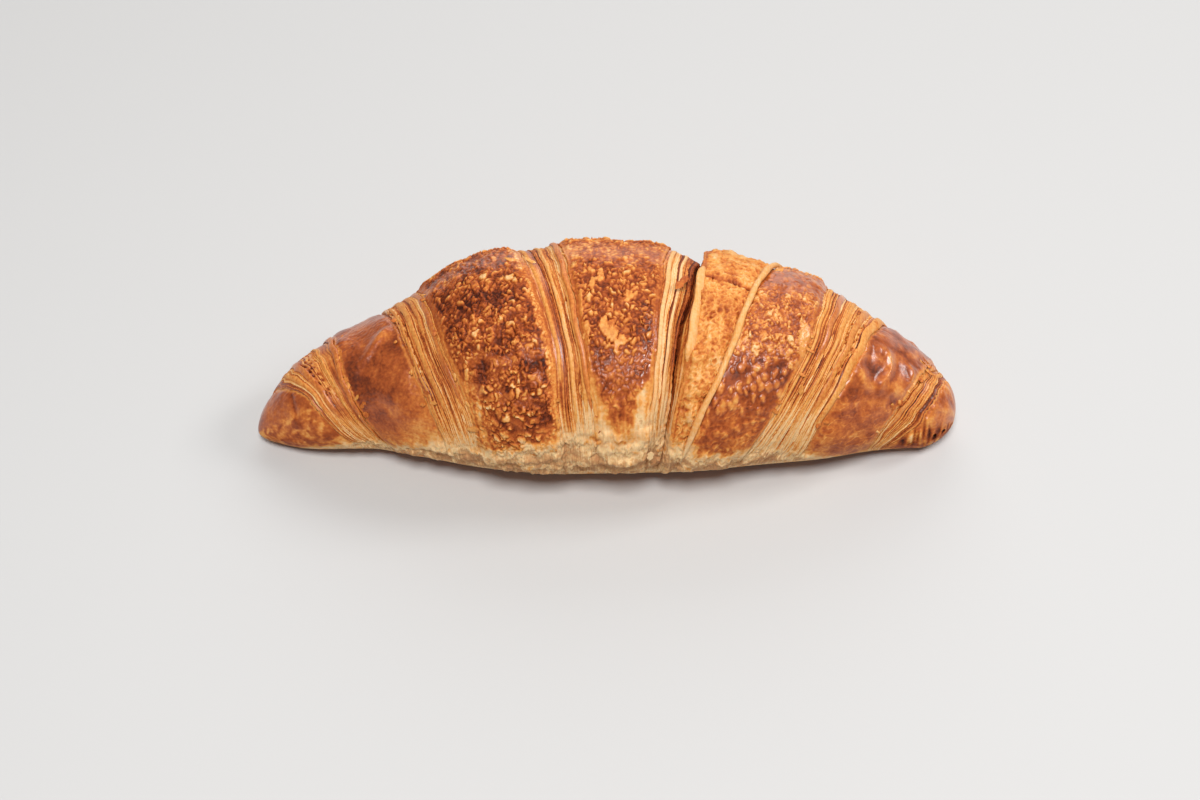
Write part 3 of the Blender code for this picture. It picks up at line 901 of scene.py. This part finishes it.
def scattered_chips():
    """Small chips along the frayed sides of the crusts, places drawn by hashed numbers."""
    number = np.arange(CHIP_COUNT)
    draws = [hashed(number, k, 0, 175) for k in range(7)]
    for k in range(CHIP_COUNT):
        line = CHIP_LINES[int(draws[0][k] * len(CHIP_LINES))]
        degrees, away, *shape = (blend(*ends, draws[d][k]) for ends, d in zip(CHIP_RANGES, CHIP_DRAWS))
        yield float(line_x(line, np.array(degrees))) + away, degrees, *shape


def make_loose_parts():
    """The proud sheet edges as one object and all the chips as another."""
    ridges = [ridge_skin(*row) for row in PROUD_RIDGES]
    ridges += [ridge_skin(*row[:5], BED_RIDGE_THICKNESS, BED_RIDGE_LIFT, *row[5:]) for row in BED_RIDGES]
    chips = [chip_skin(*row, seed) for seed, row in enumerate((*CHIPS, *scattered_chips()))]
    return [grid_mesh("sheet_edges", ridges), grid_mesh("crust_chips", chips)]


# ---------------- finishes
def srgb(text):
    """A hex colour as linear red, green, blue and alpha."""
    parts = [int(text[i:i + 2], 16) / 255 for i in (0, 2, 4)]
    return tuple(c / 12.92 if c <= 0.04045 else ((c + 0.055) / 1.055) ** 2.4 for c in parts) + (1.0,)


# Dough low down by the tray, darkened as painted shade of the tray, then pale cream, gold, orange, and dark
# red-brown
OVEN_COLOURS = ((0.0, "b98558"), (0.09, "cc9d6a"), (0.18, "e6c390"), (0.30, "e0b079"),
                (0.45, "d8954a"), (0.58, "c26f2e"), (0.70, "a4501f"), (0.82, "833810"),
                (0.92, "5e240a"), (1.0, "3c1406"))
CRUST_VALUES = {
    "Specular IOR Level": 0.20, "Coat Roughness": 0.28, "Subsurface Weight": 0.10,
    "Subsurface Radius": (1.0, 0.45, 0.2), "Subsurface Scale": 0.0012,
}
MATT_ROUGHNESS = 0.68
GLOSS_SMOOTHS = 0.32                # how much less rough the glossiest crust is
COAT_POWER = 1.5
COAT_MOST = 0.85
GRAIN_DEPTH = 0.0001                # metres, for a height of 1
SPECKS_PER_MM = 1.6
CRUMPLES_PER_MM = 1.3
CRUMPLE_MIDDLE = 0.9
THREAD_SCALE = (3.4, 0.07, 1.0)     # across the sheets, along them, and from line to line
THREAD_HEIGHT = 2.4
SPECK_BAKE = 0.28                   # how far each pattern moves the bake
CRUMPLE_BAKE = -0.07
THREAD_BAKE = -0.46


def feed(tree, node, feeds):
    """Links a node's inputs to sockets, or sets them to numbers and colours."""
    for name, value in feeds.items():
        if hasattr(value, "links"):
            tree.links.new(value, node.inputs[name])
        else:
            node.inputs[name].default_value = value


def add_node(tree, kind, feeds=(), **settings):
    """A node with its settings, then its inputs."""
    node = tree.nodes.new("ShaderNode" + kind)
    for name, value in settings.items():
        setattr(node, name, value)
    feed(tree, node, dict(feeds))
    return node


def maths(tree, operation, a, b, clamp=False):
    """A Math node; a and b are sockets or numbers."""
    return add_node(tree, "Math", {0: a, 1: b}, operation=operation, use_clamp=clamp).outputs[0]


def weighted(tree, value, middle, weight):
    """(value - middle) * weight, where weight may be a socket."""
    return maths(tree, "MULTIPLY", maths(tree, "SUBTRACT", value, middle), weight)


def total(tree, first, second, third):
    """The sum of three sockets."""
    return maths(tree, "ADD", maths(tree, "ADD", first, second), third)


def point_value(tree, name, output="Fac"):
    """A named number or vector of the piece's own points."""
    return add_node(tree, "Attribute", attribute_name=name).outputs[output]


def scaled(tree, vector, scale):
    """A vector times a scale along each axis."""
    return add_node(tree, "Mapping", {"Vector": vector, "Scale": scale}).outputs["Vector"]


def fine_noise(tree, vector, scale, detail, kind="FBM"):
    """Noise on a vector: soft clouds, or a kind with sharp wandering ridges."""
    feeds = {"Vector": vector, "Scale": scale, "Detail": detail}
    return add_node(tree, "TexNoise", feeds, noise_type=kind).outputs["Fac"]


def new_finish(name):
    """An empty material with its nodes and its shader."""
    material = bpy.data.materials.new(name)
    material.use_nodes = True
    return material, material.node_tree, material.node_tree.nodes["Principled BSDF"]


def new_group(name, inputs, outputs):
    """A shader node group with named sockets, and its input and output nodes."""
    tree = bpy.data.node_groups.new(name, "ShaderNodeTree")
    for way, sockets in (("INPUT", inputs), ("OUTPUT", outputs)):
        for socket, kind in sockets:
            tree.interface.new_socket(socket, in_out=way, socket_type="NodeSocket" + kind)
    return tree, tree.nodes.new("NodeGroupInput"), tree.nodes.new("NodeGroupOutput")


def oven_colour_group():
    """Bake to colour: from dough darkened as painted tray shade, through pale crumb, gold and orange to dark
    red-brown.
    """
    tree, given, result = new_group("oven_colour", [("Bake", "Float")], [("Color", "Color")])
    colours = add_node(tree, "ValToRGB", {"Fac": given.outputs["Bake"]})
    stops = colours.color_ramp.elements
    for place, _ in OVEN_COLOURS[1:-1]:
        stops.new(place)
    for stop, (place, colour) in zip(stops, OVEN_COLOURS):
        stop.position = place
        stop.color = srgb(colour)
    feed(tree, result, {"Color": colours.outputs["Color"]})
    return tree


def surface_grain_group():
    """Fine relief and mottling of baked dough, finer than the skin's own grid. Height is in
    tenths of a millimetre; Shift moves the bake."""
    inputs = [("Grainy", "Float"), ("Crinkled", "Float"), ("Layered", "Float"), ("Flow", "Vector")]
    outputs = [("Height", "Float"), ("Shift", "Float")]
    tree, given, result = new_group("baked_dough_grain", inputs, outputs)
    grainy, crinkled, layered, flowing = (given.outputs[name] for name, _ in inputs)
    in_millimetres = scaled(tree, add_node(tree, "TexCoord").outputs["Object"], (1000, 1000, 1000))
    speck = fine_noise(tree, in_millimetres, SPECKS_PER_MM, 4.0)
    crumple = fine_noise(tree, in_millimetres, CRUMPLES_PER_MM, 2.0, "RIDGED_MULTIFRACTAL")
    threads = fine_noise(tree, scaled(tree, flowing, THREAD_SCALE), 1.0, 3.0)
    rough = maths(tree, "ADD", grainy, crinkled)
    speckled = maths(tree, "ADD", maths(tree, "MULTIPLY", rough, 0.7), 0.35, clamp=True)
    threaded = maths(tree, "MULTIPLY", layered, THREAD_HEIGHT)
    height = total(tree, maths(tree, "MULTIPLY", speck, speckled),
                   weighted(tree, crumple, CRUMPLE_MIDDLE, rough),
                   maths(tree, "MULTIPLY", threads, threaded))
    crumple_bake = maths(tree, "MULTIPLY", grainy, CRUMPLE_BAKE)
    thread_bake = maths(tree, "MULTIPLY", layered, THREAD_BAKE)
    shift = total(tree, weighted(tree, speck, 0.5, SPECK_BAKE),
                  weighted(tree, crumple, CRUMPLE_MIDDLE, crumple_bake),
                  weighted(tree, threads, 0.5, thread_bake))
    feed(tree, result, {"Height": height, "Shift": shift})
    return tree


def baked_finish(name, oven_colour, surface_grain):
    """Baked dough: colour from the bake, relief from the grain, gloss from the egg wash."""
    material, tree, shader = new_finish(name)
    feeds = {socket: point_value(tree, socket.lower()) for socket in ("Grainy", "Crinkled", "Layered")}
    feeds["Flow"] = point_value(tree, "flow", "Vector")
    grain = add_node(tree, "Group", feeds, node_tree=surface_grain)
    # The bake attribute holds painted shade and highlights as well as the browning
    bake = maths(tree, "ADD", point_value(tree, "bake"), grain.outputs["Shift"], clamp=True)
    colour = add_node(tree, "Group", {"Bake": bake}, node_tree=oven_colour)
    gloss = point_value(tree, "gloss")
    smoothed = maths(tree, "MULTIPLY", gloss, GLOSS_SMOOTHS)
    coated = maths(tree, "POWER", gloss, COAT_POWER)
    feeds = {"Height": grain.outputs["Height"], "Strength": 1.0, "Distance": GRAIN_DEPTH}
    feed(tree, shader, {
        "Base Color": colour.outputs["Color"],
        "Roughness": maths(tree, "SUBTRACT", MATT_ROUGHNESS, smoothed),
        "Coat Weight": maths(tree, "MULTIPLY", coated, COAT_MOST, clamp=True),
        "Normal": add_node(tree, "Bump", feeds).outputs["Normal"],
        **CRUST_VALUES,
    })
    return material


# ---------------- studio and camera
def look_along(thing, place, target):
    """Puts a light or camera at place, looking at target, its top side up."""
    forward = np.array(target, float) - place
    forward /= np.linalg.norm(forward)
    side = np.cross(forward, (0, 0, 1))
    side /= np.linalg.norm(side)
    up = np.cross(side, forward)
    axes = [(side[k], up[k], -forward[k], place[k]) for k in range(3)]
    thing.matrix_world = Matrix((*axes, (0, 0, 0, 1)))


def area_light(name, place, size, watts):
    """A square soft light that looks at LIT_POINT."""
    data = bpy.data.lights.new(name, "AREA")
    data.shape = "SQUARE"
    data.size = size
    data.energy = watts
    look_along(add_object(name, data), place, LIT_POINT)


CAMERA_TILT = math.radians(52)
CAMERA_DISTANCE = 0.4557
CAMERA_LENS = 55.9
CAMERA_FRAME = 36
CAMERA_NEAREST = 0.01
CAMERA_TARGET = (-0.00162, 0.00304, 0.0)
# Soft lights: name, place, size of side, and watts
LIGHTS = (("window", (0.0, 0.85, 0.50), 0.9, 4.6), ("ceiling", (-0.02, -0.34, 0.85), 0.26, 7.8),
          ("side", (0.80, 0.15, 0.70), 0.3, 4.8))
LIT_POINT = (0, 0, 0.02)
SKY_VALUES = {"Color": (1.0, 0.98, 0.95, 1), "Strength": 0.22}
FLOOR_REACH = 3.0
FLOOR_TOP = -0.0002
FLOOR_VALUES = {"Base Color": (0.52, 0.515, 0.51, 1), "Roughness": 0.9}


def make_studio():
    """A pale floor, soft light from above and behind, and the camera looking down."""
    mesh = bpy.data.meshes.new("floor")
    corners = [(x * FLOOR_REACH, y * FLOOR_REACH, FLOOR_TOP) for x, y in ((-1, -1), (1, -1), (1, 1), (-1, 1))]
    mesh.from_pydata(corners, [], [(0, 1, 2, 3)])
    floor = add_object("floor", mesh)
    material, tree, shader = new_finish("pale_floor")
    feed(tree, shader, FLOOR_VALUES)
    mesh.materials.append(material)
    world = bpy.data.worlds.new("studio")
    bpy.context.scene.world = world
    world.use_nodes = True
    feed(world.node_tree, world.node_tree.nodes["Background"], SKY_VALUES)
    for light in LIGHTS:
        area_light(*light)
    bpy.context.scene.view_settings.view_transform = "Standard"
    camera = add_object("camera", bpy.data.cameras.new("camera"))
    camera.data.lens = CAMERA_LENS
    camera.data.sensor_width = CAMERA_FRAME
    camera.data.clip_start = CAMERA_NEAREST
    target = np.array(CAMERA_TARGET)
    back = np.array([0, -math.cos(CAMERA_TILT), math.sin(CAMERA_TILT)])
    look_along(camera, target + back * CAMERA_DISTANCE, target)
    bpy.context.scene.camera = camera


# ---------------- making
oven_colour = oven_colour_group()
surface_grain = surface_grain_group()
crust = baked_finish("egg_washed_crust", oven_colour, surface_grain)

for piece in make_body() + make_loose_parts():
    piece.data.materials.append(crust)
    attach(piece, "root")
    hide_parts("croissant")

make_studio()
